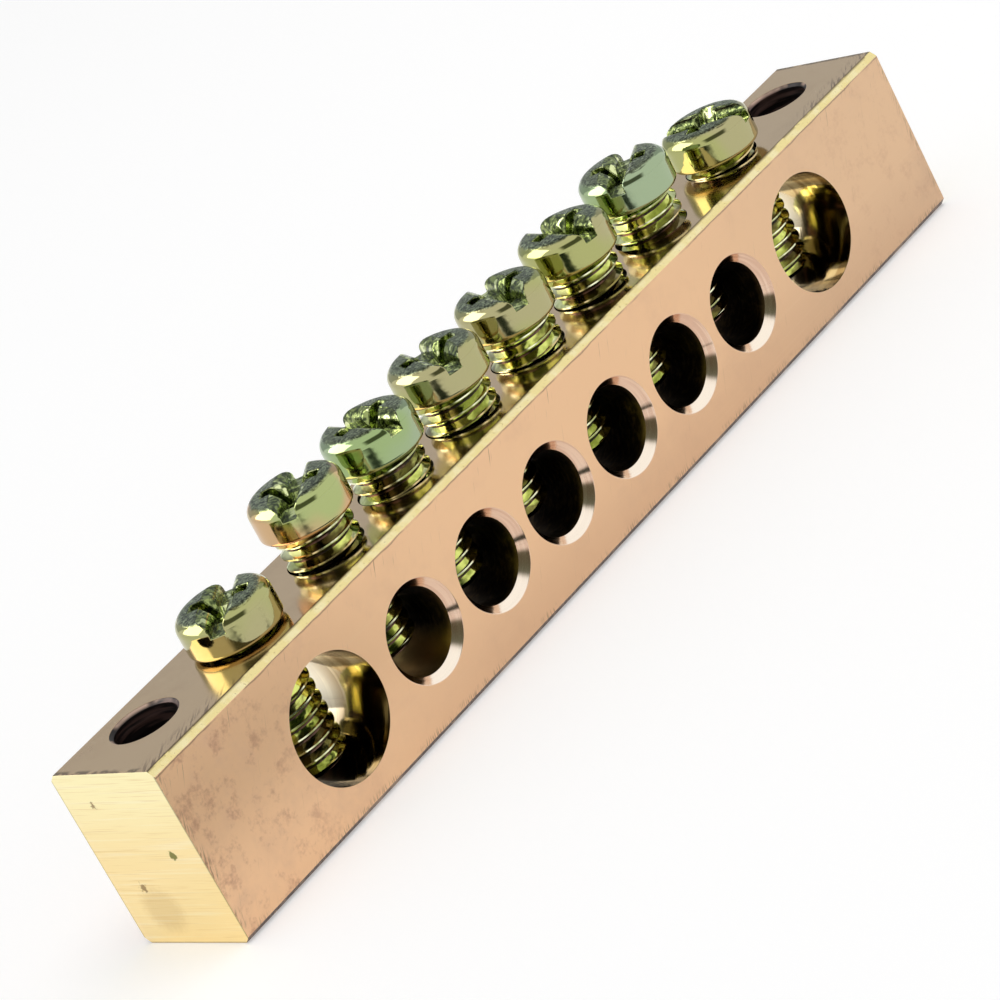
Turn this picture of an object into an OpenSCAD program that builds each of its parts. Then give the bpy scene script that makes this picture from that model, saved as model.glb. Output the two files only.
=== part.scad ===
// Earth terminal bar: one drawn brass bar with a row of clamp screws in its top,
// each over a wire hole that crosses the bar, and a fixing hole at each end.
// X runs along the bar, the wires enter from -Y, and Z is up from the bar's underside.

/* [Bar section] */
// Depth of the bar, from the wire face to the back
bar_w = 9; // [8:0.5:14]
// Height of the bar
bar_h = 12; // [11:0.5:18]
// Bevel along the four long edges
edge_bevel = 0.4; // [0.2:0.1:0.8]

/* [Wire holes] */
// Height of the wire holes' axis above the underside
wire_z = 5.85; // [5:0.05:7]
// Bore of the six middle wire holes
wire_d = 5.4; // [5.1:0.1:6]
// Bore of the two end wire holes
end_wire_d = 7.9; // [6.5:0.1:8.4]
// Width of the countersunk rim round a middle wire hole
rim_w = 0.5; // [0.2:0.05:0.8]
// Depth of that rim
rim_depth = 0.55; // [0.3:0.05:1]
// Metal between a middle hole's rim and an end wire hole
end_gap = 1.5; // [0.8:0.05:4]

/* [Fixing holes] */
// Bore of the two fixing holes
fixing_d = 4.1; // [3:0.1:5]
// Offset of the fixing holes towards the back
fixing_y = 0.8; // [0:0.1:1.4]
// Bevel at a fixing hole's mouth
fixing_bevel = 0.2; // [0.1:0.05:0.4]
// Metal between an end wire hole and its fixing hole
fixing_gap = 2.2; // [1:0.1:6]
// Metal between a fixing hole and the sawn end
end_wall = 3; // [1.5:0.1:8]

/* [Clamp screws] */
// Outer width of the screw thread
screw_d = 5; // [4:0.1:5]
// Length under the head
screw_l = 9.5; // [8:0.1:12]
// Length of the bevelled tip
tip_l = 0.5; // [0.3:0.1:1]
// Width of the flat end of the tip
tip_d = 4; // [3:0.1:4.4]
// Running clearance round the thread in its bore
bore_gap = 0.05; // [0.02:0.01:0.1]
// Space left at a screw's lower stop
stop_gap = 0.1; // [0.05:0.05:0.5]

/* [Screw heads] */
// Width of the head
head_d = 6.2; // [5.6:0.1:7]
// Straight side of the head
head_side = 1.6; // [1.4:0.05:2.5]
// Rounding under the head
foot_round = 0.35; // [0.1:0.05:0.5]
// Rounding over the head
brow_round = 0.55; // [0.2:0.05:0.8]
// Rise of the crown above the rounding
crown_rise = 0.12; // [0.05:0.01:0.3]
// Free space between two neighbouring heads
head_gap = 1.04; // [0.5:0.02:4]
// Width of the driver slot and of the cross recess
slot_w = 0.95; // [0.8:0.05:1.2]
// Rounding of the slot's two mouth edges
mouth_round = 0.4; // [0.1:0.05:0.5]
// Depth of the driver slot below the crown
slot_depth = 1.1; // [0.9:0.05:1.2]
// Span of the cross recess at the crown
cross_span = 4; // [3:0.1:4.6]
// Span of the cross recess at its bottom
cross_foot = 1.6; // [1:0.1:2.4]
// Depth of the cross recess below the crown
cross_depth = 1.55; // [1.3:0.05:1.8]

/* [How far each screw is undone] */
// Screw 1, at the -X end
undone_1 = 0.05; // [0:0.05:7]
// Screw 2
undone_2 = 0.3; // [0:0.05:3.5]
// Screw 3
undone_3 = 0.15; // [0:0.05:3.5]
// Screw 4
undone_4 = 0.3; // [0:0.05:3.5]
// Screw 5
undone_5 = 0.25; // [0:0.05:3.5]
// Screw 6
undone_6 = 0.35; // [0:0.05:3.5]
// Screw 7
undone_7 = 0.55; // [0:0.05:3.5]
// Screw 8, at the +X end
undone_8 = 0.55; // [0:0.05:7]

/* [Direction of each driver slot] */
// Screw 1, angle from +X
turn_1 = 33; // [0:1:179]
// Screw 2
turn_2 = 33; // [0:1:179]
// Screw 3
turn_3 = 79; // [0:1:179]
// Screw 4
turn_4 = 66; // [0:1:179]
// Screw 5
turn_5 = 66; // [0:1:179]
// Screw 6
turn_6 = 76; // [0:1:179]
// Screw 7
turn_7 = 28; // [0:1:179]
// Screw 8
turn_8 = 108; // [0:1:179]

/* [Hidden] */

$fn = 96;
COUNT = 8;
UNDONE = [undone_1, undone_2, undone_3, undone_4, undone_5, undone_6, undone_7, undone_8];
TURN = [turn_1, turn_2, turn_3, turn_4, turn_5, turn_6, turn_7, turn_8];
// How far a cutting tool runs past the face it cuts
overrun = 1;
// Straight steps in each rounded edge of a head
arc_steps = 6;

screw_r = screw_d / 2;
tip_r = tip_d / 2;
head_r = head_d / 2;
wire_r = wire_d / 2;
end_wire_r = end_wire_d / 2;
fixing_r = fixing_d / 2;
rim_r = wire_r + rim_w;
// Middle holes stand as close as their screws' heads allow
pitch = head_d + head_gap;
// Half the distance between the outermost middle holes
row_half = (COUNT - 3) / 2 * pitch;
end_wire_x = row_half + rim_r + end_gap + end_wire_r;
fixing_x = end_wire_x + end_wire_r + fixing_gap + fixing_r;
bar_l = 2 * (fixing_x + fixing_r + end_wall);

brow_z = foot_round + head_side;
rim_z = brow_z + brow_round;
crown_z = rim_z + crown_rise;
crown_r = head_r - brow_round;

function is_end(n) = n == 1 || n == COUNT;
function hole_r(n) = is_end(n) ? end_wire_r : wire_r;
function screw_x(n) = is_end(n) ? sign(n - COUNT / 2) * end_wire_x : (n - (COUNT + 1) / 2) * pitch;

// How far below a round hole's axis something this wide meets its wall
function reach(wall_r, half_w) = sqrt(max(0, wall_r * wall_r - half_w * half_w));
// Lowest place of a screw's tip: its rim or its first thread meets the wire hole's wall
function tip_stop(n) = wire_z - min(reach(hole_r(n), tip_r), reach(hole_r(n), screw_r) + tip_l);
// Underside of the head when the screw is fully in: the bar's top or the tip stops it
function head_stop(n) = max(bar_h, tip_stop(n) + screw_l) + stop_gap;
function head_z(n) = head_stop(n) + UNDONE[n - 1];

function arc(x, y, r, from, to) =
    [for (i = [0:arc_steps]) let (a = from + (to - from) * i / arc_steps) [x + r * cos(a), y + r * sin(a)]];

// The bar's section, with its four long edges bevelled
module bar_section() {
    y = bar_w / 2;
    b = edge_bevel;
    polygon([[b - y, 0], [y - b, 0], [y, b], [y, bar_h - b],
             [y - b, bar_h], [b - y, bar_h], [-y, bar_h - b], [-y, b]]);
}

module wire_hole(n) {
    r = hole_r(n);
    translate([screw_x(n), 0, wire_z])
        rotate([90, 0, 0]) cylinder(h = bar_w + 2 * overrun, r = r, center = true);
    if (!is_end(n))
        translate([screw_x(n), -bar_w / 2, wire_z])
            rotate([-90, 0, 0]) countersink(r, rim_w, rim_depth);
}

// Cone that opens a bore of radius r by w at its mouth, going in along +Z
module countersink(r, w, depth) {
    past = overrun / 10;
    translate([0, 0, -past])
        cylinder(h = depth + past, r1 = r + w * (depth + past) / depth, r2 = r);
}

module screw_bore(n) {
    translate([screw_x(n), 0, wire_z])
        cylinder(h = bar_h - wire_z + overrun, r = screw_r + bore_gap);
}

module fixing_hole(side) {
    translate([side * fixing_x, fixing_y, 0]) {
        translate([0, 0, -overrun]) cylinder(h = bar_h + 2 * overrun, r = fixing_r);
        translate([0, 0, bar_h]) mirror([0, 0, 1]) countersink(fixing_r, fixing_bevel, fixing_bevel);
    }
}

module terminal_bar() {
    color([0.86, 0.69, 0.5])
        difference() {
            rotate([90, 0, 90]) linear_extrude(bar_l, center = true) bar_section();
            for (n = [1:COUNT]) {
                wire_hole(n);
                screw_bore(n);
            }
            for (side = [-1, 1]) fixing_hole(side);
        }
}

// Turned head: rounded foot, straight side, rounded brow and a shallow crown
module head_blank() {
    crown = [for (i = [1:arc_steps]) let (x = crown_r * (1 - i / arc_steps))
             [x, crown_z - crown_rise * pow(x / crown_r, 2)]];
    rotate_extrude()
        polygon(concat([[0, 0]],
                       arc(head_r - foot_round, foot_round, foot_round, -90, 0),
                       arc(crown_r, brow_z, brow_round, 0, 90),
                       crown));
}

// One tapered wing of the cross recess, standing under the crown
module cross_wing() {
    top = cross_span / 2;
    foot = cross_foot / 2;
    rise = (top - foot) * overrun / cross_depth;
    rotate([90, 0, 0])
        linear_extrude(slot_w, center = true)
            polygon([[-foot, -cross_depth], [foot, -cross_depth], [top + rise, overrun], [-top - rise, overrun]]);
}

// The driver slot's section, opening out at its mouth
module slot_section() {
    w = slot_w / 2;
    m = mouth_round;
    side = concat([[w, -slot_depth]], arc(w + m, -crown_rise - m, m, 180, 90), [[w + m, overrun]]);
    polygon(concat(side, [for (i = [len(side) - 1:-1:0]) [-side[i][0], side[i][1]]]));
}

// Slot across the whole head, with a cross recess in its middle
module driver_recess() {
    translate([0, 0, crown_z]) {
        rotate([90, 0, 90]) linear_extrude(head_d + 2 * overrun, center = true) slot_section();
        for (a = [0, 90]) rotate([0, 0, a]) cross_wing();
        translate([0, 0, -cross_depth])
            cylinder(h = cross_depth + overrun / 10, r1 = slot_w / 2, r2 = cross_foot * 0.8);
    }
}

module clamp_screw(n) {
    color([0.62, 0.63, 0.4])
        translate([screw_x(n), 0, head_z(n)])
            rotate([0, 0, TURN[n - 1]]) {
                difference() {
                    head_blank();
                    driver_recess();
                }
                translate([0, 0, tip_l - screw_l]) cylinder(h = screw_l - tip_l, r = screw_r);
                translate([0, 0, -screw_l]) cylinder(h = tip_l, r1 = tip_r, r2 = screw_r);
            }
}

terminal_bar();
clamp_screw(1);  // clamp_screw_1
clamp_screw(2);  // clamp_screw_2
clamp_screw(3);  // clamp_screw_3
clamp_screw(4);  // clamp_screw_4
clamp_screw(5);  // clamp_screw_5
clamp_screw(6);  // clamp_screw_6
clamp_screw(7);  // clamp_screw_7
clamp_screw(8);  // clamp_screw_8
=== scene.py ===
import math

import bpy
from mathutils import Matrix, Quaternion, Vector


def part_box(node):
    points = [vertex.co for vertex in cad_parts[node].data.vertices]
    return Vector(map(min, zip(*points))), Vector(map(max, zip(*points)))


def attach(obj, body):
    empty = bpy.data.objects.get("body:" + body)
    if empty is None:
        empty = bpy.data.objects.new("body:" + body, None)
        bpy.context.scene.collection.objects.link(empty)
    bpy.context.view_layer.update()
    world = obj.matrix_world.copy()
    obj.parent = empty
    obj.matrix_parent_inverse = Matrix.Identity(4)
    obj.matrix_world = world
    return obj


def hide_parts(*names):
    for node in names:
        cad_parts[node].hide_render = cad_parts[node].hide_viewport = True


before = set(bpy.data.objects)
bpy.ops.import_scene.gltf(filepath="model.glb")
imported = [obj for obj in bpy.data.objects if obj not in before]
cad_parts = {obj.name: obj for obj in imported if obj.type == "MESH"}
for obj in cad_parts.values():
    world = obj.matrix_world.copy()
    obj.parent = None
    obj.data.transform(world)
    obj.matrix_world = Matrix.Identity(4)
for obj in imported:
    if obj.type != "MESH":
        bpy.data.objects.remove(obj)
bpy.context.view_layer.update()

# Pieces are modelled in millimetres and brought to metres when they are finished.
METRE = 0.001
# Points closer than this are one: in a newly made shape, and after cuts
WELD = 0.0005
CUT_WELD = 0.0008
# Degrees: edges flatter than this are shaded smooth
SMOOTH_BELOW = 34

# Bar
EDGE_BEVEL = 0.4
WIRE_Z = 5.85
WIRE_R = 2.7
END_WIRE_R = 3.95
RIM_WIDTH = 0.5
RIM_DEPTH = 0.55
BORE_R = 2.55
FIXING_R = 2.05
FIXING_X = 34.95
FIXING_Y = 0.8
MOUTH_BREAK = 0.05

# Clamp screws
SCREW_COUNT = 8
SHANK_LENGTH = 9.5
TIP_LENGTH = 0.5
TIP_R = 2.0
THREAD_R = 2.5
ROOT_R = 2.06
THREAD_PITCH = 0.8
HEAD_R = 3.1
HEAD_SIDE = 1.35
FOOT_ROUND = 0.35
BROW_ROUND = 0.8
CROWN_RISE = 0.12
SLOT_WIDTH = 0.95
SLOT_DEPTH = 1.1
MOUTH_ROUND = 0.7
CROSS_TOP = 4.0
CROSS_FOOT = 1.6
CROSS_DEPTH = 1.55
# Direction of each screw's slot, in degrees from +X
SLOT_TURNS = (33, 33, 79, 66, 66, 76, 28, 108)
# Flats round a turned shape: the usual number, and that of small or threaded ones
ROUND_STEPS = 96
SMALL_STEPS = 64


# ---------------------------------------------------------------- modelling

def only(*objs):
    """Leaves these objects selected, the first of them active."""
    bpy.ops.object.select_all(action="DESELECT")
    for obj in objs:
        obj.select_set(True)
    bpy.context.view_layer.objects.active = objs[0]


def edit(obj, kind="VERT"):
    """Starts edit mode on this object, picking points, edges or faces."""
    only(obj)
    bpy.ops.object.mode_set(mode="EDIT")
    bpy.ops.mesh.select_mode(type=kind)


def leave():
    bpy.ops.object.mode_set(mode="OBJECT")


def added(name):
    """The object that was just made, under its name."""
    obj = bpy.context.active_object
    obj.name = obj.data.name = name
    return obj


def plane(name, size=1.0):
    bpy.ops.object.select_all(action="DESELECT")
    bpy.ops.mesh.primitive_plane_add(size=size)
    return added(name)


def pick_all():
    bpy.ops.mesh.select_all(action="SELECT")


def weld_solid():
    """Closes the shape in edit mode, turns its faces outwards and leaves edit mode."""
    pick_all()
    bpy.ops.mesh.remove_doubles(threshold=WELD)
    bpy.ops.mesh.normals_make_consistent(inside=False)
    leave()


def pick_faces(obj, test):
    """Selects the faces whose middle and normal pass the test, and stays in edit mode."""
    edit(obj, "FACE")
    bpy.ops.mesh.select_all(action="DESELECT")
    leave()
    for face in obj.data.polygons:
        face.select = bool(test(face.center, face.normal))
    edit(obj, "FACE")


def pick_edges(obj, test, sharp=None):
    """Selects the edges whose two ends pass the test, and stays in edit mode.

    With sharp given, only edges that turn by more than so many degrees are picked.
    """
    edit(obj, "EDGE")
    bpy.ops.mesh.select_all(action="DESELECT")
    if sharp:
        bpy.ops.mesh.edges_select_sharp(sharpness=math.radians(sharp))
    leave()
    points = obj.data.vertices
    for line in obj.data.edges:
        a, b = (points[i].co for i in line.vertices)
        line.select = bool((line.select or not sharp) and test(a, b))
    edit(obj, "EDGE")


def drawn_line(name, points):
    """An open line through points (radius, height) in the XZ plane, left in edit mode."""
    obj = plane(name)
    edit(obj)
    pick_all()
    bpy.ops.mesh.merge(type="CENTER")
    bpy.ops.transform.translate(value=(points[0][0], 0, points[0][1]))
    for (r0, z0), (r1, z1) in zip(points, points[1:]):
        bpy.ops.mesh.extrude_vertices_move(
            TRANSFORM_OT_translate={"value": (r1 - r0, 0, z1 - z0)})
    return obj


def turned(name, points, steps=ROUND_STEPS):
    """A closed solid turned about Z from a profile that starts and ends on the axis."""
    obj = drawn_line(name, points)
    pick_all()
    bpy.ops.mesh.spin(steps=steps, angle=2 * math.pi, center=(0, 0, 0), axis=(0, 0, 1))
    weld_solid()
    return obj


def block(name, size, middle):
    """A box of this size round this point."""
    bpy.ops.object.select_all(action="DESELECT")
    bpy.ops.mesh.primitive_cube_add(size=1)
    obj = added(name)
    edit(obj)
    pick_all()
    bpy.ops.transform.resize(value=size)
    bpy.ops.transform.translate(value=middle)
    leave()
    return obj


def place(obj, at=(0, 0, 0), turn=(0, 0, 0), scale=1.0):
    """Moves, turns and scales an object, and puts its place into its mesh."""
    obj.location = at
    obj.rotation_euler = [math.radians(a) for a in turn]
    obj.scale = (scale,) * 3
    only(obj)
    bpy.ops.object.transform_apply(location=True, rotation=True, scale=True)
    return obj


def copied(obj, name):
    twin = obj.copy()
    twin.data = obj.data.copy()
    twin.name = twin.data.name = name
    bpy.context.collection.objects.link(twin)
    return twin


def finish_modifiers(obj):
    only(obj)
    for mod in list(obj.modifiers):
        bpy.ops.object.modifier_apply(modifier=mod.name)


def combine(obj, tool, operation="DIFFERENCE"):
    """Cuts obj with tool, or joins the two, and removes the tool."""
    mod = obj.modifiers.new(operation.title(), "BOOLEAN")
    mod.operation = operation
    mod.solver = "EXACT"
    mod.material_mode = "TRANSFER"
    mod.object = tool
    finish_modifiers(obj)
    bpy.data.objects.remove(tool)


def joined(*objs):
    """Several objects as one, under the first one's name."""
    only(*objs)
    bpy.ops.object.join()
    return objs[0]


def mend_cuts(obj):
    """Joins the points that cuts left next to each other."""
    edit(obj)
    pick_all()
    bpy.ops.mesh.remove_doubles(threshold=CUT_WELD)
    bpy.ops.mesh.dissolve_degenerate(threshold=CUT_WELD / 2)
    leave()


def shaded(obj):
    """Smooth shading that keeps flat faces flat."""
    only(obj)
    bpy.ops.object.shade_smooth_by_angle(angle=math.radians(SMOOTH_BELOW))
    mod = obj.modifiers.new("Flat faces", "WEIGHTED_NORMAL")
    mod.keep_sharp = True
    mod.weight = 60
    finish_modifiers(obj)


def arc(x, z, r, start, end, steps):
    """Points round (x, z), from one angle in degrees to another."""
    angles = [math.radians(start + (end - start) * i / steps) for i in range(steps + 1)]
    return [(x + r * math.cos(a), z + r * math.sin(a)) for a in angles]


# ---------------------------------------------------------------- materials

def shader_group(name, inputs, outputs):
    """A new node group with these sockets: its tree, its input node and its output node."""
    tree = bpy.data.node_groups.new(name, "ShaderNodeTree")
    for label, kind, value in inputs:
        socket = tree.interface.new_socket(label, in_out="INPUT", socket_type=kind)
        if value is not None:
            socket.default_value = value
    for label, kind in outputs:
        tree.interface.new_socket(label, in_out="OUTPUT", socket_type=kind)
    return tree, tree.nodes.new("NodeGroupInput"), tree.nodes.new("NodeGroupOutput")


def node(tree, kind, inputs=None, **settings):
    """A shader node with its settings, and its inputs set to values or linked to sockets."""
    made = tree.nodes.new("ShaderNode" + kind)
    for key, value in settings.items():
        setattr(made, key, value)
    for key, value in (inputs or {}).items():
        socket = made.inputs[key]
        if isinstance(value, bpy.types.NodeSocket):
            tree.links.new(value, socket)
        else:
            socket.default_value = value
    return made


def maths(tree, operation, a, b=0.0, c=0.0):
    return node(tree, "Math", {0: a, 1: b, 2: c}, operation=operation).outputs[0]


def times(tree, *values):
    product = values[0]
    for value in values[1:]:
        product = maths(tree, "MULTIPLY", product, value)
    return product


def step_up(tree, value, low, high):
    """0 below low and 1 above high, smooth between."""
    made = node(tree, "MapRange", {"Value": value, "From Min": low, "From Max": high},
                interpolation_type="SMOOTHSTEP", clamp=True)
    return made.outputs[0]


def blend(tree, amount, a, b):
    """Colour a where amount is 0 and b where it is 1. Each is a socket or three numbers."""
    made = node(tree, "Mix", {0: amount}, data_type="RGBA", clamp_factor=True)
    for socket, value in ((made.inputs[6], a), (made.inputs[7], b)):
        if isinstance(value, bpy.types.NodeSocket):
            tree.links.new(value, socket)
        else:
            socket.default_value = (*value, 1.0)
    return made.outputs[2]


def in_mm(tree, vector, scale=(1, 1, 1), turn=(0, 0, 0)):
    """An object position in millimetres, turned by these angles and stretched."""
    made = node(tree, "Mapping", {"Vector": vector,
                                  "Scale": [s / METRE for s in scale],
                                  "Rotation": [math.radians(a) for a in turn]})
    return made.outputs[0]


def noise(tree, vector, scale=1.0, detail=3.0, rough=0.55):
    made = node(tree, "TexNoise", {"Vector": vector, "Scale": scale, "Detail": detail,
                                   "Roughness": rough})
    return made.outputs["Fac"]


def make_mottle():
    """Soft stains: low patches with a finer break-up. Vector is in millimetres."""
    tree, start, end = shader_group(
        "stain_mottle",
        [("Vector", "NodeSocketVector", None), ("Size", "NodeSocketFloat", 4.0),
         ("Low", "NodeSocketFloat", 0.45), ("High", "NodeSocketFloat", 0.7)],
        [("Mask", "NodeSocketFloat")])
    scale = maths(tree, "DIVIDE", 1.0, start.outputs["Size"])
    coarse = noise(tree, start.outputs["Vector"], scale, 4.0, 0.6)
    fine = noise(tree, start.outputs["Vector"], times(tree, scale, 6.0), 3.0, 0.6)
    both = maths(tree, "ADD", times(tree, coarse, 0.75), times(tree, fine, 0.25))
    mask = step_up(tree, both, start.outputs["Low"], start.outputs["High"])
    tree.links.new(mask, end.inputs["Mask"])
    return tree


def make_streaks():
    """Fine broken lines that run along the vector's X. Vector is in millimetres."""
    tree, start, end = shader_group(
        "fine_streaks",
        [("Vector", "NodeSocketVector", None), ("Width", "NodeSocketFloat", 0.1),
         ("Length", "NodeSocketFloat", 8.0), ("Low", "NodeSocketFloat", 0.6),
         ("High", "NodeSocketFloat", 0.75)],
        [("Mask", "NodeSocketFloat"), ("Height", "NodeSocketFloat")])
    across = maths(tree, "DIVIDE", 1.0, start.outputs["Width"])
    along = maths(tree, "DIVIDE", 1.0, start.outputs["Length"])
    x, y, z = node(tree, "SeparateXYZ", {0: start.outputs["Vector"]}).outputs
    stretched = node(tree, "CombineXYZ", {0: times(tree, x, along), 1: times(tree, y, across),
                                          2: times(tree, z, across)})
    grain = noise(tree, stretched.outputs[0], 1.0, 2.0, 0.5)
    mask = step_up(tree, grain, start.outputs["Low"], start.outputs["High"])
    tree.links.new(mask, end.inputs["Mask"])
    tree.links.new(grain, end.inputs["Height"])
    return tree


def make_specks():
    """Scattered small spots. Vector is in millimetres, and Amount is the share of cells with a spot."""
    tree, start, end = shader_group(
        "specks",
        [("Vector", "NodeSocketVector", None), ("Spacing", "NodeSocketFloat", 1.0),
         ("Radius", "NodeSocketFloat", 0.2), ("Amount", "NodeSocketFloat", 0.3)],
        [("Mask", "NodeSocketFloat")])
    scale = maths(tree, "DIVIDE", 1.0, start.outputs["Spacing"])
    wobble = noise(tree, start.outputs["Vector"], times(tree, scale, 4.0), 2.0, 0.5)
    moved = node(tree, "VectorMath", {0: start.outputs["Vector"], 1: wobble}, operation="ADD")
    cells = node(tree, "TexVoronoi", {"Vector": moved.outputs[0], "Scale": scale, "Randomness": 1.0},
                 feature="F1")
    near = maths(tree, "LESS_THAN", cells.outputs["Distance"], start.outputs["Radius"])
    chosen = node(tree, "SeparateColor", {0: cells.outputs["Color"]})
    lucky = maths(tree, "LESS_THAN", chosen.outputs[0], start.outputs["Amount"])
    tree.links.new(times(tree, near, lucky), end.inputs["Mask"])
    return tree


MOTTLE = make_mottle()
STREAKS = make_streaks()
SPECKS = make_specks()


def use(tree, group, **inputs):
    """The outputs of an effect group, with its inputs set to values or linked to sockets."""
    made = tree.nodes.new("ShaderNodeGroup")
    made.node_tree = group
    for key, value in inputs.items():
        socket = made.inputs[key]
        if isinstance(value, bpy.types.NodeSocket):
            tree.links.new(value, socket)
        else:
            socket.default_value = value
    return made.outputs


def metal(name, roughness, metallic=1.0):
    """A new metal material, with its tree, its shader and its object position."""
    mat = bpy.data.materials.new(name)
    mat.use_nodes = True
    tree = mat.node_tree
    shader = tree.nodes["Principled BSDF"]
    shader.inputs["Metallic"].default_value = metallic
    shader.inputs["Roughness"].default_value = roughness
    return mat, tree, shader, node(tree, "TexCoord").outputs["Object"]


def facing(tree):
    """The surface's own direction, on the object's axes."""
    return node(tree, "TexCoord").outputs["Normal"]


def xyz(tree, vector):
    return node(tree, "SeparateXYZ", {0: vector}).outputs


def turned_streaks(tree, spot, turn, **inputs):
    """Streaks that run along an X axis turned by these angles."""
    return use(tree, STREAKS, Vector=in_mm(tree, spot, turn=turn), **inputs)


def near_line(tree, value, line, reach):
    """1 where value is at line, falling to 0 at reach on both sides."""
    away = maths(tree, "ABSOLUTE", maths(tree, "SUBTRACT", value, line))
    return step_up(tree, away, reach, 0.0)


def layered(tree, colour, *layers):
    """A colour with others laid over it, each by its own mask."""
    for mask, over in layers:
        colour = blend(tree, mask, colour, over)
    return colour


def coat(tree, shader, colour, roughness=None):
    tree.links.new(colour, shader.inputs["Base Color"])
    if roughness is not None:
        tree.links.new(roughness, shader.inputs["Roughness"])


def bump(tree, shader, height, strength, distance):
    """Relief from a height, over a distance in millimetres."""
    made = node(tree, "Bump", {"Height": height, "Strength": strength, "Distance": distance * METRE})
    tree.links.new(made.outputs[0], shader.inputs["Normal"])


# In the materials below, places are in millimetres on the bar's or the screw's own axes.

def drawn_brass():
    """Front, back and underside: rose-tan drawn face with stains, scratches and dirty edges."""
    mat, tree, shader, spot = metal("brass_drawn_face", 0.36, metallic=0.4)
    rose, stain_tan, low_tan = (0.99, 0.628, 0.36), (0.72, 0.455, 0.30), (0.72, 0.45, 0.27)
    grey_tan, red_grime, pale = (0.62, 0.47, 0.32), (0.47, 0.21, 0.14), (1.0, 0.74, 0.48)
    dark = (0.17, 0.10, 0.07)
    mm = in_mm(tree, spot)
    x, _, z = xyz(tree, mm)
    from_middle = maths(tree, "ABSOLUTE", x)
    stains = use(tree, MOTTLE, Vector=mm, Size=6.0, Low=0.47, High=0.72)["Mask"]
    grime = use(tree, MOTTLE, Vector=mm, Size=1.3, Low=0.49, High=0.70)["Mask"]
    drag = use(tree, STREAKS, Vector=mm, Width=0.12, Length=14.0, Low=0.55, High=0.85)
    nicks = turned_streaks(tree, spot, (0, 62, 0), Width=0.10, Length=2.6, Low=0.66, High=0.74)["Mask"]
    burr = turned_streaks(tree, spot, (0, 72, 0), Width=0.10, Length=0.9, Low=0.46, High=0.62)["Mask"]

    # Zones of the bar
    ends = step_up(tree, from_middle, 24.0, 36.0)
    near_end = step_up(tree, x, 8.0, -30.0)
    far_end = step_up(tree, x, 8.0, 34.0)
    low_half = times(tree, step_up(tree, z, 6.5, 0.5), step_up(tree, x, -30.0, -12.0))
    lip = step_up(tree, z, 9.8, 11.4)
    foot = step_up(tree, z, 0.95, 0.4)
    side = step_up(tree, from_middle, 39.3, 39.9)

    # One long broken scratch under the upper bevel
    wander = maths(tree, "MULTIPLY_ADD", noise(tree, mm, 0.6), 0.25, z)
    kept = step_up(tree, noise(tree, mm, 0.2), 0.36, 0.50)
    gouge = times(tree, near_line(tree, wander, 11.66, 0.08), kept)
    broken = step_up(tree, noise(tree, mm, 0.45), 0.40, 0.60)

    colour = layered(
        tree, rose,
        (times(tree, stains, maths(tree, "MULTIPLY_ADD", ends, 0.25, 0.28)), stain_tan),
        (times(tree, low_half, 0.55), low_tan),
        (times(tree, far_end, 0.3), grey_tan),
        (times(tree, grime, ends, maths(tree, "MULTIPLY_ADD", near_end, 0.4, 0.2)), red_grime),
        (times(tree, drag["Mask"], 0.12), pale),
        (times(tree, gouge, 0.65), dark),
        (times(tree, nicks, maths(tree, "MULTIPLY_ADD", lip, 0.55, 0.12)), dark),
        (times(tree, burr, broken, maths(tree, "MAXIMUM", foot, side), 0.6), dark))
    coat(tree, shader, colour, maths(tree, "MULTIPLY_ADD", stains, 0.12, 0.34))
    bump(tree, shader, drag["Height"], 0.25, 0.01)
    return mat


def polished_top():
    """Top face: a smooth drawn face whose gloss carries the screws' reflections."""
    mat, tree, shader, spot = metal("brass_polished_top", 0.12)
    brass, hazy, scuffed = (0.74, 0.53, 0.34), (0.60, 0.42, 0.27), (0.20, 0.12, 0.08)
    pale, line_dark, end_dark = (0.95, 0.80, 0.62), (0.12, 0.07, 0.04), (0.10, 0.06, 0.04)
    mm = in_mm(tree, spot)
    x, y, _ = xyz(tree, mm)
    from_middle = maths(tree, "ABSOLUTE", x)
    drag = use(tree, STREAKS, Vector=mm, Width=0.10, Length=18.0, Low=0.5, High=0.8)
    haze = use(tree, MOTTLE, Vector=mm, Size=5.0, Low=0.42, High=0.72)["Mask"]
    flecks = use(tree, SPECKS, Vector=in_mm(tree, spot, scale=(1, 1, 0)), Spacing=0.5, Radius=0.14,
                 Amount=0.4)["Mask"]
    scuffs = turned_streaks(tree, spot, (0, 0, -35), Width=0.14, Length=1.6,
                            Low=0.50, High=0.62)["Mask"]
    ends = step_up(tree, from_middle, 29.0, 34.0)
    lip = step_up(tree, y, -2.6, -4.0)
    arris = times(tree, step_up(tree, from_middle, 39.55, 39.8),
                  step_up(tree, noise(tree, mm, 1.2), 0.40, 0.55))
    colour = layered(
        tree, brass,
        (times(tree, haze, 0.4), hazy),
        (times(tree, scuffs, lip, ends, 0.75), scuffed),
        (times(tree, flecks, ends, 0.45), pale),
        (times(tree, near_line(tree, y, -4.1, 0.16), 0.7), line_dark),
        (times(tree, arris, 0.7), end_dark))
    rough = maths(tree, "MULTIPLY_ADD", haze, 0.07, 0.10)
    coat(tree, shader, colour, maths(tree, "MULTIPLY_ADD", ends, 0.12, rough))
    bump(tree, shader, drag["Height"], 0.15, 0.006)
    return mat


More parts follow.
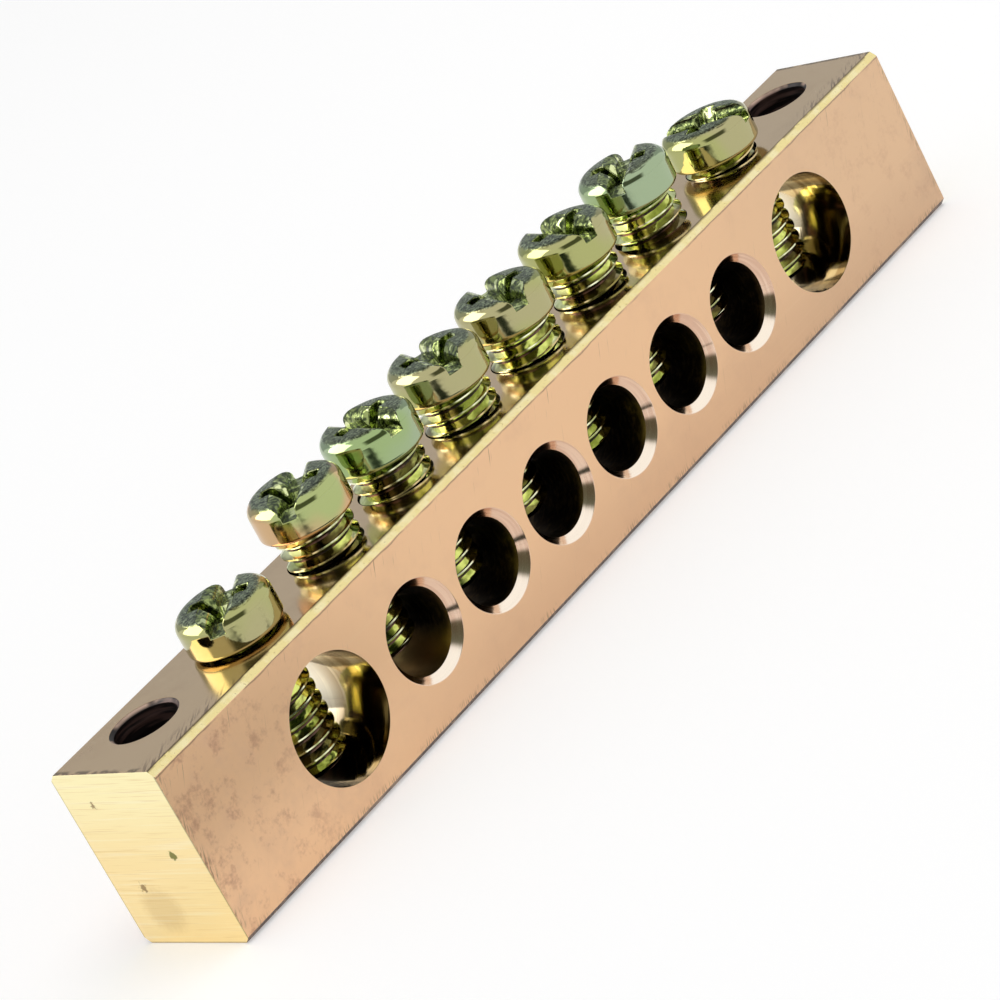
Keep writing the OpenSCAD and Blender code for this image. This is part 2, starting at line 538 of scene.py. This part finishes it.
def bright_bevel():
    """Upper front bevel: burnished to a pale yellow, with ticks across and a dark line along its upper
    edge.
    """
    mat, tree, shader, spot = metal("brass_bright_bevel", 0.24)
    yellow, pale = (0.86, 0.73, 0.34), (0.90, 0.80, 0.46)
    tick_brown, line_dark = (0.50, 0.36, 0.18), (0.14, 0.09, 0.04)
    mm = in_mm(tree, spot)
    ticks = turned_streaks(tree, spot, (0, 0, 70), Width=0.15, Length=1.5, Low=0.64, High=0.72)["Mask"]
    wear = noise(tree, mm, 0.9)
    line = times(tree, step_up(tree, xyz(tree, mm)[2], 11.86, 11.99), step_up(tree, wear, 0.35, 0.5))
    colour = layered(
        tree, yellow,
        (step_up(tree, wear, 0.4, 0.7), pale),
        (times(tree, ticks, 0.45), tick_brown),
        (times(tree, line, 0.75), line_dark))
    coat(tree, shader, colour)
    bump(tree, shader, wear, 0.2, 0.02)
    return mat


def shaded_edge_with_burrs():
    """Lower bevels and the upper back one: dark painted shade for the reflection of the bar's shaded
    underside, with hatched brighter burrs.
    """
    mat, tree, shader, spot = metal("brass_shaded_edge_with_burrs", 0.4)
    mm = in_mm(tree, spot)
    burr = turned_streaks(tree, spot, (0, 70, 0), Width=0.2, Length=1.2, Low=0.52, High=0.68)["Mask"]
    patch = step_up(tree, noise(tree, mm, 0.35), 0.52, 0.66)
    bare = maths(tree, "MAXIMUM", times(tree, burr, 0.6), times(tree, patch, 0.5))
    # The dark base is painted shade; the burrs and patches are bare metal.
    coat(tree, shader, blend(tree, bare, (0.14, 0.09, 0.07), (0.62, 0.44, 0.30)))
    bump(tree, shader, burr, 0.3, 0.02)
    return mat


def end_mark(tree, spot_yz, ragged, at, reach, softness=0.12):
    """A ragged spot of dirt at a place (y, z) on a sawn end."""
    usual_rag = 0.45
    gap = [maths(tree, "SUBTRACT", value, middle) for value, middle in zip(spot_yz, at)]
    away = maths(tree, "SQRT", maths(tree, "ADD", *(times(tree, g, g) for g in gap)))
    edge = reach + usual_rag
    return step_up(tree, maths(tree, "ADD", away, ragged), edge + softness, edge)


def sawn_brass():
    """Ends: bright sawn brass with fine lines across and a few dark and green spots."""
    mat, tree, shader, spot = metal("brass_sawn_end", 0.34)
    low_gold, high_gold, pale = (0.96, 0.76, 0.385), (0.99, 0.89, 0.52), (1.0, 0.92, 0.68)
    line_brown, stain_brown, dirt_dark = (0.74, 0.50, 0.20), (0.55, 0.36, 0.14), (0.25, 0.15, 0.06)
    green_dark, rim_dark = (0.16, 0.17, 0.03), (0.16, 0.10, 0.05)
    across = in_mm(tree, spot, turn=(0, 0, 90))
    _, y, z = xyz(tree, in_mm(tree, spot))
    saw = use(tree, STREAKS, Vector=across, Width=0.22, Length=9.0, Low=0.5, High=0.75)
    fine = use(tree, STREAKS, Vector=across, Width=0.06, Length=4.0, Low=0.56, High=0.70)["Mask"]
    flat = in_mm(tree, spot, scale=(0, 1, 1))
    specks = use(tree, SPECKS, Vector=flat, Spacing=1.6, Radius=0.07, Amount=0.25)["Mask"]
    ragged = times(tree, noise(tree, flat, 3.0, 3.0, 0.7), 0.9)

    green = end_mark(tree, (y, z), ragged, (-2.2, 6.2), 0.22)
    spots = maths(tree, "MAXIMUM", end_mark(tree, (y, z), ragged, (2.0, 4.0), 0.2),
                  end_mark(tree, (y, z), ragged, (2.1, 9.8), 0.12))
    dirt = maths(tree, "MAXIMUM", specks, spots)
    stain = times(tree, end_mark(tree, (y, z), ragged, (1.3, 2.4), 0.9, 1.2), 0.3)
    rim = maths(tree, "MAXIMUM", step_up(tree, maths(tree, "ABSOLUTE", y), 4.35, 4.5),
                step_up(tree, z, 0.15, 0.0))
    colour = layered(
        tree, low_gold,
        (step_up(tree, z, 5.0, 12.0), high_gold),
        (times(tree, saw["Mask"], 0.4), pale),
        (times(tree, fine, 0.4), line_brown),
        (stain, stain_brown),
        (times(tree, dirt, 0.8), dirt_dark),
        (times(tree, green, 0.9), green_dark),
        (times(tree, rim, 0.7), rim_dark))
    coat(tree, shader, colour)
    bump(tree, shader, saw["Height"], 0.5, 0.03)
    return mat


def wire_bore_painted_shade():
    """Middle wire holes and screw bores: near black painted shade, with turned lines, patches of
    painted glow, a painted pool of light on some floors, and rose brass at the mouth.
    """
    mat, tree, shader, spot = metal("brass_bore_painted_shade", 0.3)
    dark, line_brown, glow = (0.022, 0.014, 0.008), (0.07, 0.045, 0.02), (0.40, 0.26, 0.08)
    painted_light_pool_gold, mouth_rose = (0.60, 0.40, 0.12), (0.55, 0.36, 0.20)
    mm = in_mm(tree, spot)
    x, y, z = xyz(tree, mm)
    rings = turned_streaks(tree, spot, (0, 0, 90), Width=0.5, Length=0.25, Low=0.45, High=0.7)
    patches = use(tree, MOTTLE, Vector=mm, Size=2.0, Low=0.5, High=0.7)["Mask"]
    mouth = step_up(tree, y, -3.4, -4.1)
    painted_light_pool = times(tree, step_up(tree, z, 5.0, 3.6), step_up(tree, y, 1.5, -1.5),
                   step_up(tree, x, -12.0, -17.0))
    # The near black base is painted shade, the gold glow patches and the gold pool low down are painted
    # light, and the rose at the mouth is the brass where the painted shade stops.
    colour = layered(
        tree, dark,
        (rings["Mask"], line_brown),
        (times(tree, patches, 0.2), glow),
        (times(tree, painted_light_pool, 0.7), painted_light_pool_gold),
        (times(tree, mouth, 0.5), mouth_rose))
    coat(tree, shader, colour)
    bump(tree, shader, rings["Height"], 0.3, 0.02)
    return mat


def countersunk_rim():
    """Countersinks: a smooth rosy cut, with a pale painted highlight where it faces up."""
    mat, tree, shader, spot = metal("brass_countersink", 0.12)
    rings = noise(tree, in_mm(tree, spot, scale=(0.2, 6.0, 0.2)), 1.0, 2.0)
    painted_highlight_up = step_up(tree, xyz(tree, facing(tree))[2], 0.35, 0.68)
    # Where the cut faces up, it carries a painted highlight.
    colour = layered(
        tree, (0.70, 0.47, 0.34),
        (step_up(tree, rings, 0.4, 0.6), (0.80, 0.58, 0.43)),
        (times(tree, painted_highlight_up, 0.85), (1.0, 0.90, 0.76)))
    coat(tree, shader, colour)
    bump(tree, shader, rings, 0.3, 0.01)
    return mat


def end_bore():
    """End wire holes: bored golden, with streaks round the wall, a pale painted reflection towards the
    back, painted shade low on the front of the far wall and painted shade darkening towards the floor.
    """
    mat, tree, shader, spot = metal("brass_golden_bore", 0.09)
    brown, gold, painted_reflection_gold = (0.50, 0.33, 0.11), (0.96, 0.78, 0.42), (1.0, 0.93, 0.74)
    painted_shade_brown, painted_shade_dark = (0.22, 0.13, 0.055), (0.07, 0.045, 0.02)
    _, y, z = xyz(tree, in_mm(tree, spot))
    bands = noise(tree, in_mm(tree, spot, scale=(0.05, 1.5, 0.05)), 1.0, 3.0, 0.6)
    far_wall = step_up(tree, xyz(tree, facing(tree))[0], -0.35, -0.95)
    low_front = times(tree, step_up(tree, z, 7.6, 5.8), step_up(tree, y, 0.5, -2.0))
    # Painted light: a pale reflection towards the back, shade low on the front of the far wall, and
    # shade darkening towards the floor.
    colour = layered(
        tree, brown,
        (step_up(tree, bands, 0.40, 0.56), gold),
        (step_up(tree, y, -2.5, 1.5), painted_reflection_gold),
        (times(tree, far_wall, low_front, 0.8), painted_shade_brown),
        (times(tree, step_up(tree, z, 6.6, 3.0), 0.85), painted_shade_dark))
    coat(tree, shader, colour)
    bump(tree, shader, bands, 0.3, 0.02)
    return mat


def fixing_bore_painted_shade():
    """Fixing holes: near black painted shade, with faint rings and broken rosy patches at the mouth."""
    mat, tree, shader, spot = metal("brass_fixing_hole_painted_shade", 0.4, metallic=0.4)
    mm = in_mm(tree, spot)
    rings = noise(tree, in_mm(tree, spot, scale=(0.3, 0.3, 3.0)), 1.0, 2.0)
    mouth = times(tree, step_up(tree, xyz(tree, mm)[2], 11.78, 11.95),
                  step_up(tree, noise(tree, mm, 0.5, 2.0), 0.45, 0.6))
    # The near black base is painted shade.
    colour = layered(
        tree, (0.010, 0.006, 0.006),
        (step_up(tree, rings, 0.45, 0.62), (0.10, 0.055, 0.045)),
        (times(tree, mouth, 0.7), (0.72, 0.50, 0.38)))
    coat(tree, shader, colour)
    bump(tree, shader, rings, 0.3, 0.02)
    return mat


# Passivation differs a little from screw to screw: each tone is its main colour and what it drifts to.
TONES = {"olive": ((0.42, 0.43, 0.17), (0.44, 0.41, 0.21)),
         "green": ((0.34, 0.45, 0.20), (0.36, 0.45, 0.28)),
         "tan": ((0.62, 0.41, 0.22), (0.42, 0.48, 0.20))}
SCREW_TONES = ("olive", "tan", "green", "olive", "olive", "olive", "green", "olive")


def plating_drift(tree, mm, tone):
    """Colour of yellow passivation, which drifts slowly over a head."""
    drift = step_up(tree, noise(tree, mm, 0.22, 1.0, 0.4), 0.44, 0.60)
    return blend(tree, drift, *TONES[tone])


def zinc_side(tone):
    """Turned sides: glossy yellow passivated zinc."""
    mat, tree, shader, spot = metal("zinc_bright_side_" + tone, 0.09)
    mm = in_mm(tree, spot)
    shift = use(tree, MOTTLE, Vector=mm, Size=3.0, Low=0.35, High=0.65)["Mask"]
    coat(tree, shader, plating_drift(tree, mm, tone), maths(tree, "MULTIPLY_ADD", shift, 0.05, 0.07))
    bump(tree, shader, noise(tree, mm, 0.9, 2.0, 0.5), 0.35, 0.05)
    return mat


def zinc_thread():
    """Thread flanks: plating between patches of dark dried oil, with a pale painted glint high up on
    one side.
    """
    mat, tree, shader, spot = metal("zinc_thread_flank", 0.08)
    plating, rubbed, oil_dark = (0.46, 0.50, 0.19), (0.86, 0.90, 0.46), (0.12, 0.07, 0.045)
    painted_glint_pale = (1.0, 1.0, 0.62)
    mm = in_mm(tree, spot)
    rub = noise(tree, mm, 0.7, 2.0)
    oil = step_up(tree, noise(tree, in_mm(tree, spot, scale=(0.3, 0.3, 0.8)), 1.0), 0.48, 0.60)
    # A painted glint: pale plating on the flanks that face one way, high up on the shank.
    glint_side = node(tree, "VectorMath", {0: facing(tree), 1: (-0.75, 0.66, 0.0)},
                      operation="DOT_PRODUCT").outputs["Value"]
    high_up = step_up(tree, xyz(tree, mm)[2], 12.9, 13.4)
    painted_glint = times(tree, step_up(tree, glint_side, 0.12, 0.36), high_up)
    colour = layered(
        tree, plating,
        (step_up(tree, rub, 0.4, 0.6), rubbed),
        (times(tree, oil, 0.8), oil_dark),
        (painted_glint, painted_glint_pale))
    coat(tree, shader, colour)
    bump(tree, shader, noise(tree, mm, 0.9, 2.0, 0.5), 0.5, 0.09)
    return mat


def zinc_crest():
    """Crest of the thread: rubbed bright."""
    mat, tree, shader, spot = metal("zinc_thread_crest", 0.12)
    wear = step_up(tree, noise(tree, in_mm(tree, spot), 1.1, 2.0), 0.4, 0.6)
    coat(tree, shader, blend(tree, wear, (0.40, 0.43, 0.18), (0.95, 0.96, 0.66)))
    return mat


def zinc_root_painted_shade():
    """Bottom of the thread: near black painted shade, with patches of dried oil."""
    mat, tree, shader, spot = metal("zinc_thread_root_painted_shade", 0.3)
    oil = step_up(tree, noise(tree, in_mm(tree, spot), 1.2, 2.0), 0.45, 0.65)
    # The near black is painted shade in the thread's groove.
    coat(tree, shader, blend(tree, oil, (0.03, 0.025, 0.02), (0.16, 0.09, 0.07)))
    return mat


def zinc_crown(tone):
    """Top of the head: smooth plating over the brow that turns to forged grit on the crown."""
    mat, tree, shader, spot = metal("zinc_gritty_crown_" + tone, 0.28)
    grit_dark, grit_green, patch_olive = (0.02, 0.032, 0.022), (0.40, 0.47, 0.30), (0.13, 0.16, 0.08)
    mm = in_mm(tree, spot)
    upright = maths(tree, "SUBTRACT", xyz(tree, facing(tree))[2], 0.1)
    ragged = maths(tree, "MULTIPLY_ADD", noise(tree, mm, 1.6), 0.2, upright)
    forged = step_up(tree, ragged, 0.80, 0.96)
    grit = noise(tree, mm, 5.0, 4.0, 0.7)
    patches = step_up(tree, noise(tree, mm, 0.8, 2.0), 0.45, 0.65)
    rough_skin = layered(
        tree, grit_dark,
        (step_up(tree, grit, 0.38, 0.64), grit_green),
        (times(tree, patches, 0.5), patch_olive))
    coat(tree, shader, blend(tree, forged, plating_drift(tree, mm, tone), rough_skin),
         maths(tree, "MULTIPLY_ADD", forged, 0.18, 0.09))
    bump(tree, shader, times(tree, grit, forged), 0.9, 0.06)
    return mat


def zinc_recess_painted_shade():
    """Slot and cross recess: bright struck facets among grit, over near black painted shade."""
    mat, tree, shader, spot = metal("zinc_struck_recess_painted_shade", 0.15)
    mm = in_mm(tree, spot)
    grit = noise(tree, mm, 3.0, 3.0, 0.6)
    facets = step_up(tree, noise(tree, mm, 1.3, 1.0), 0.56, 0.62)
    # The near black base is painted shade.
    colour = layered(
        tree, (0.05, 0.07, 0.03),
        (step_up(tree, grit, 0.40, 0.60), (0.32, 0.38, 0.14)),
        (times(tree, facets, 0.9), (0.85, 0.92, 0.48)))
    coat(tree, shader, colour)
    bump(tree, shader, grit, 0.6, 0.06)
    return mat


# EDGE is painted shade on the lower bevels, with real burrs.
FACE, TOP, BEVEL, EDGE, SAWN = drawn_brass(), polished_top(), bright_bevel(), shaded_edge_with_burrs(), sawn_brass()
# BORE is painted shade with painted light in its floors.
# END_BORE carries a painted reflection and painted shade.
# FIXING_BORE is painted shade.
# RIM carries a painted highlight.
BORE, RIM, END_BORE, FIXING_BORE = wire_bore_painted_shade(), countersunk_rim(), end_bore(), fixing_bore_painted_shade()
# FLANK carries a painted glint.
# RECESS is painted shade.
# ROOT is painted shade.
FLANK, CREST, ROOT, RECESS = zinc_thread(), zinc_crest(), zinc_root_painted_shade(), zinc_recess_painted_shade()
HEAD_FINISH = {tone: (zinc_side(tone), zinc_crown(tone)) for tone in TONES}
SIDE, CROWN = HEAD_FINISH["olive"]


def paint(obj, mat, test):
    """Gives a material to the faces that pass the test."""
    if mat.name not in obj.data.materials:
        obj.data.materials.append(mat)
    pick_faces(obj, test)
    obj.active_material_index = obj.data.materials.find(mat.name)
    bpy.ops.object.material_slot_assign()
    leave()


# ---------------------------------------------------------------- bar

low, high = (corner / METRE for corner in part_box("terminal_bar"))
BAR_W, BAR_H, HALF_L = high.y - low.y, high.z, high.x
FRONT, BACK = low.y, high.y
screw_boxes = [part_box("clamp_screw_%d" % (n + 1)) for n in range(SCREW_COUNT)]
SCREW_X = [(a.x + b.x) / 2 / METRE for a, b in screw_boxes]
TIP_Z = [a.z / METRE for a, b in screw_boxes]


def wire_hole_tool(x, end):
    """Cutter for a wire hole: plain at the two ends, countersunk in front elsewhere."""
    past = 0.3
    if end:
        line = [(0, -past), (END_WIRE_R, -past), (END_WIRE_R, BAR_W + past), (0, BAR_W + past)]
    else:
        rim = WIRE_R + RIM_WIDTH * (1 + past / RIM_DEPTH)
        line = [(0, -past), (rim, -past), (WIRE_R, RIM_DEPTH), (WIRE_R, BAR_W + past),
                (0, BAR_W + past)]
    tool = turned("wire_hole_tool", line)
    tool.data.materials.append(END_BORE if end else BORE)
    if not end:
        paint(tool, RIM, lambda c, n: c.z < RIM_DEPTH)
    return place(tool, (x, FRONT, WIRE_Z), (-90, 0, 0))


def bore_tool(x):
    """Cutter for a screw's bore, from the wire hole's axis up through the top."""
    top = BAR_H + 1 - WIRE_Z
    line = [(0, 0), (BORE_R, 0), (BORE_R, top), (0, top)]
    tool = place(turned("bore_tool", line), (x, 0, WIRE_Z))
    tool.data.materials.append(BORE)
    return tool


def fixing_tool(x):
    """Fixing hole with a broken edge at its mouth and the drill's faint rings in its wall."""
    first_ring, last_ring, ring_pitch = BAR_H - 0.35, 0.5, 0.55
    ring_depth, ring_half = 0.03, 0.2
    wall = []
    z = first_ring
    while z > last_ring:
        wall += [(FIXING_R, z), (FIXING_R + ring_depth, z - ring_half), (FIXING_R, z - 2 * ring_half)]
        z -= ring_pitch
    past, bevel, below = 0.3, 0.2, -0.5
    line = [(0, BAR_H + past), (FIXING_R + bevel + past, BAR_H + past), (FIXING_R, BAR_H - bevel)]
    line += wall + [(FIXING_R, below), (0, below)]
    tool = place(turned("fixing_tool", line, SMALL_STEPS), (x, FIXING_Y, 0))
    tool.data.materials.append(FIXING_BORE)
    return tool


def on_skin(a, b):
    """Whether an edge lies in one of the block's six faces."""
    near = 0.002
    planes = [(abs(a.y), abs(b.y), BACK), (a.z, b.z, BAR_H), (a.z, b.z, 0.0),
              (abs(a.x), abs(b.x), HALF_L)]
    return any(abs(p - h) < near and abs(q - h) < near for p, q, h in planes)


def build_bar():
    bar = block("brass_bar", (2 * HALF_L, BAR_W, BAR_H), (0, 0, BAR_H / 2))
    pick_edges(bar, lambda a, b: abs(a.x - b.x) > BAR_H)
    bpy.ops.mesh.bevel(offset=EDGE_BEVEL, segments=1, affect="EDGES")
    leave()
    bar.data.materials.append(FACE)
    flat, slanted, lengthwise = 0.9, 0.3, 0.1
    paint(bar, TOP, lambda c, n: n.z > flat)
    paint(bar, BEVEL, lambda c, n: abs(n.x) < lengthwise and n.y < 0 and slanted < n.z < flat)
    # The lower bevels and the upper back one take EDGE: painted shade with burrs.
    paint(bar, EDGE, lambda c, n: (abs(n.x) < lengthwise and (n.y > 0 or n.z < 0)
                                   and slanted < abs(n.z) < flat))
    paint(bar, SAWN, lambda c, n: abs(n.x) > flat)
    wires = [wire_hole_tool(x, n in (0, SCREW_COUNT - 1)) for n, x in enumerate(SCREW_X)]
    bores = [bore_tool(x) for x in SCREW_X] + [fixing_tool(s * FIXING_X) for s in (-1, 1)]
    for tools in (wires, bores):
        combine(bar, joined(*tools))
    mend_cuts(bar)
    pick_edges(bar, on_skin, sharp=25)
    bpy.ops.mesh.bevel(offset=MOUTH_BREAK, segments=2, affect="EDGES")
    leave()
    shaded(bar)
    place(bar, scale=METRE)
    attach(bar, "bar")
    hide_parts("terminal_bar")


# ---------------------------------------------------------------- screws

BROW_Z = FOOT_ROUND + HEAD_SIDE
RIM_Z = BROW_Z + BROW_ROUND
CROWN_Z = RIM_Z + CROWN_RISE
CROWN_R = HEAD_R - BROW_ROUND
# Steps in each of a head's rounded edges, and in the one under the head
ARC_STEPS = 6
FOOT_STEPS = 5


def head_blank():
    """Turned head: rounded foot, straight side, rounded brow and a shallow crown."""
    inwards = [1 - i / ARC_STEPS for i in range(1, ARC_STEPS + 1)]
    crown = [(CROWN_R * share, CROWN_Z - CROWN_RISE * share ** 2) for share in inwards]
    line = [(0, 0)] + arc(HEAD_R - FOOT_ROUND, FOOT_ROUND, FOOT_ROUND, -90, 0, FOOT_STEPS)
    line += arc(CROWN_R, BROW_Z, BROW_ROUND, 0, 90, ARC_STEPS) + crown
    return turned("screw_head", line)


def rolled_slot():
    """The driver slot's cutter: a bar whose section opens out round both mouth edges."""
    mid = SLOT_WIDTH / 2 + MOUTH_ROUND
    side = arc(mid, RIM_Z - MOUTH_ROUND, MOUTH_ROUND, 180, 90, ARC_STEPS) + [(mid, CROWN_Z + 1)]
    line = [(SLOT_WIDTH / 2, CROWN_Z - SLOT_DEPTH)] + side
    line += [(-x, z) for x, z in reversed(line)]
    half_length = HEAD_R + 1
    tool = drawn_line("slot_tool", line)
    pick_all()
    bpy.ops.mesh.remove_doubles(threshold=WELD)
    bpy.ops.mesh.edge_face_add()
    bpy.ops.transform.translate(value=(0, -half_length, 0))
    bpy.ops.mesh.extrude_region_move(TRANSFORM_OT_translate={"value": (0, 2 * half_length, 0)})
    pick_all()
    bpy.ops.mesh.normals_make_consistent(inside=False)
    leave()
    return place(tool, turn=(0, 0, 90))


def tapered_wing(turn):
    """One arm of the cross recess, narrowing to its bottom."""
    past = 1.0
    wing = block("wing_tool", (CROSS_FOOT, SLOT_WIDTH, CROSS_DEPTH + past),
                 (0, 0, CROWN_Z - CROSS_DEPTH / 2 + past / 2))
    pick_faces(wing, lambda c, n: n.z > 0.9)
    grow = (CROSS_TOP + (CROSS_TOP - CROSS_FOOT) * past / CROSS_DEPTH) / CROSS_FOOT
    bpy.ops.transform.resize(value=(grow, 1, 1))
    leave()
    return place(wing, turn=(0, 0, turn))


def thread_blank():
    """Helical thread, cut off square at both ends."""
    flank, flat = 0.30, 0.10
    spare_turns, start_below, into_head = 2, 1.2, 0.3
    line = [(ROOT_R, 0), (THREAD_R, flank), (THREAD_R, flank + flat),
            (ROOT_R, 2 * flank + flat), (ROOT_R, THREAD_PITCH)]
    obj = drawn_line("screw_thread", line)
    leave()
    mod = obj.modifiers.new("Thread", "SCREW")
    mod.axis = "Z"
    mod.angle = 2 * math.pi
    mod.screw_offset = THREAD_PITCH
    mod.iterations = math.ceil(SHANK_LENGTH / THREAD_PITCH) + spare_turns
    mod.steps = mod.render_steps = SMALL_STEPS
    mod.use_merge_vertices = True
    mod.merge_threshold = WELD
    finish_modifiers(obj)
    place(obj, (0, 0, -SHANK_LENGTH - start_below))
    for height, low_side in ((-SHANK_LENGTH, True), (into_head, False)):
        edit(obj)
        pick_all()
        bpy.ops.mesh.bisect(plane_co=(0, 0, height), plane_no=(0, 0, 1), use_fill=True,
                            clear_inner=low_side, clear_outer=not low_side)
        leave()
    edit(obj)
    weld_solid()
    return obj


def slotted_head():
    """Head with the driver slot and the cross recess cut in, and its edges eased."""
    head = head_blank()
    head.data.materials.append(SIDE)
    paint(head, CROWN, lambda c, n: c.z > BROW_Z and n.z > 0.02)
    slot_tool = rolled_slot()
    well_top = CROWN_Z + 0.1
    well = [(0, CROWN_Z - CROSS_DEPTH), (SLOT_WIDTH / 2, CROWN_Z - CROSS_DEPTH),
            (CROSS_FOOT * 0.8, well_top), (0, well_top)]
    for tool in (slot_tool, tapered_wing(0), tapered_wing(90), turned("well_tool", well, 48)):
        # The recess faces take RECESS's painted shade.
        tool.data.materials.append(RECESS)
        combine(head, tool)
    mend_cuts(head)
    above_foot, eased = 0.5, 0.07
    pick_edges(head, lambda a, b: min(a.z, b.z) > above_foot, sharp=30)
    bpy.ops.mesh.bevel(offset=eased, segments=2, affect="EDGES")
    leave()
    return head


def pointed_thread():
    """Thread cut to the screw's bevelled tip, with its root and crest painted."""
    thread = thread_blank()
    wide = THREAD_R + 0.3
    tip = [(0, 1), (wide, 1), (wide, -SHANK_LENGTH + TIP_LENGTH + 0.3),
           (TIP_R, -SHANK_LENGTH), (0, -SHANK_LENGTH)]
    tip_tool = turned("tip_tool", tip, SMALL_STEPS)
    thread.data.materials.append(FLANK)
    # The thread's groove takes ROOT's painted shade.
    paint(thread, ROOT, lambda c, n: math.hypot(c.x, c.y) < ROOT_R + 0.06)
    paint(thread, CREST, lambda c, n: math.hypot(c.x, c.y) > THREAD_R - 0.02)
    tip_tool.data.materials.append(FLANK)
    combine(thread, tip_tool, "INTERSECT")
    return thread


def build_screw():
    """One screw, with the underside of its head at height 0."""
    screw = slotted_head()
    combine(screw, pointed_thread(), "UNION")
    mend_cuts(screw)
    shaded(screw)
    return screw


def place_screws(master):
    """A copy of the screw at each place, turned and toned, and the first one taken away."""
    for n in range(SCREW_COUNT):
        screw = copied(master, "plated_screw_%d" % (n + 1))
        place(screw, (SCREW_X[n] * METRE, 0, (TIP_Z[n] + SHANK_LENGTH) * METRE),
              (0, 0, SLOT_TURNS[n]), METRE)
        slots = screw.data.materials
        for plain, toned in zip((SIDE, CROWN), HEAD_FINISH[SCREW_TONES[n]]):
            slots[slots.find(plain.name)] = toned
        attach(screw, "screw_%d" % (n + 1))
        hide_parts("clamp_screw_%d" % (n + 1))
    bpy.data.objects.remove(master)


build_bar()
place_screws(build_screw())


# ---------------------------------------------------------------- stage

def seen_share(tree):
    """1 for the rays that show the background: camera, gloss and glass."""
    path = node(tree, "LightPath")
    both = maths(tree, "MAXIMUM", path.outputs["Is Camera Ray"], path.outputs["Is Glossy Ray"])
    return maths(tree, "MAXIMUM", both, path.outputs["Is Transmission Ray"])


def white_floor():
    floor = plane("studio_floor", 6)
    mat = bpy.data.materials.new("floor_white")
    mat.use_nodes = True
    tree = mat.node_tree
    shader = tree.nodes["Principled BSDF"]
    shader.inputs["Base Color"].default_value = (0.72, 0.72, 0.72, 1)
    shader.inputs["Roughness"].default_value = 1.0
    shader.inputs["Specular IOR Level"].default_value = 0.0
    shader.inputs["Emission Color"].default_value = (1, 1, 1, 1)
    tree.links.new(times(tree, seen_share(tree), 0.35), shader.inputs["Emission Strength"])
    floor.data.materials.append(mat)


def card(name, size, at, aim, colour, strength=1.0, soft=False):
    """A studio card that only gloss shows. A soft one fades to white towards its edges."""
    obj = plane(name)
    obj.scale = (*size, 1)
    obj.location = at
    obj.rotation_euler = (Vector(aim) - Vector(at)).to_track_quat("Z", "Y").to_euler()
    mat = bpy.data.materials.new(name)
    mat.use_nodes = True
    tree = mat.node_tree
    tree.nodes.clear()
    shade = (*colour, 1)
    if soft:
        x, y, _ = xyz(tree, node(tree, "TexCoord").outputs["Object"])
        edge = maths(tree, "MAXIMUM", *(maths(tree, "ABSOLUTE", value) for value in (x, y)))
        shade = blend(tree, step_up(tree, edge, 0.5, 0.28), (1, 1, 1), colour)
    glow = node(tree, "Emission", {"Color": shade, "Strength": strength})
    out = tree.nodes.new("ShaderNodeOutputMaterial")
    tree.links.new(glow.outputs[0], out.inputs[0])
    obj.data.materials.append(mat)
    obj.visible_camera = obj.visible_diffuse = obj.visible_shadow = False
    obj.visible_volume_scatter = obj.visible_transmission = False


def soft_lamp(name, at, aim, size, power):
    """A rectangular lamp that gloss does not show."""
    data = bpy.data.lights.new(name, "AREA")
    data.shape = "RECTANGLE"
    data.size, data.size_y = size
    data.energy = power
    lamp = bpy.data.objects.new(name, data)
    bpy.context.collection.objects.link(lamp)
    lamp.location = at
    lamp.rotation_euler = (Vector(aim) - Vector(at)).to_track_quat("-Z", "Y").to_euler()
    lamp.visible_glossy = False


def studio():
    """White floor and world, one softbox, and the cards that the metal's gloss shows."""
    white_floor()
    world = bpy.data.worlds.new("studio_world")
    bpy.context.scene.world = world
    world.use_nodes = True
    tree = world.node_tree
    back = tree.nodes["Background"]
    back.inputs["Color"].default_value = (1, 1, 1, 1)
    tree.links.new(maths(tree, "MULTIPLY_ADD", seen_share(tree), 0.4, 0.6), back.inputs["Strength"])
    soft_lamp("overhead_softbox", (0.1, -0.1, 0.6), (0, 0, 0), (0.5, 0.5), 1.4)
    middle = (0, 0, 0.008)
    card("far_grey_card", (2.4, 1.2), (0.75, 0.88, 0.45), middle, (0.52, 0.55, 0.55))
    card("left_bright_card", (0.46, 0.46), (-0.30, 0.33, 0.30), middle, (1.0, 0.98, 0.95), 4.0)
    card("front_dark_flag", (0.9, 0.6), (-0.30, -0.52, 0.34), middle, (0.13, 0.14, 0.10), soft=True)
    card("top_dark_flag", (0.8, 0.6), (0.20, 0.16, 0.60), middle, (0.05, 0.03, 0.03), soft=True)
    flag_x, flag_y = -0.032, -0.0225
    card("table_dark_flag", (0.056, 0.018), (flag_x, flag_y, 0.0003), (flag_x, flag_y, 1.0),
         (0.02, 0.03, 0.02), soft=True)


def camera():
    """Long lens from the front left, a little above the bar, leaning 28 degrees."""
    data = bpy.data.cameras.new("view")
    data.sensor_width = 36.0
    data.lens = 150.84
    data.clip_start, data.clip_end = 0.01, 10.0
    obj = bpy.data.objects.new("view", data)
    bpy.context.collection.objects.link(obj)
    obj.location = (-0.162875, -0.181088, 0.098218)
    ahead = Vector((0.61558, 0.70242, -0.35731))
    lean = Quaternion((0, 0, 1), math.radians(-28.12))
    obj.rotation_mode = "QUATERNION"
    obj.rotation_quaternion = ahead.to_track_quat("-Z", "Y") @ lean
    bpy.context.scene.camera = obj


studio()
camera()
bpy.context.scene.view_settings.view_transform = "Standard"
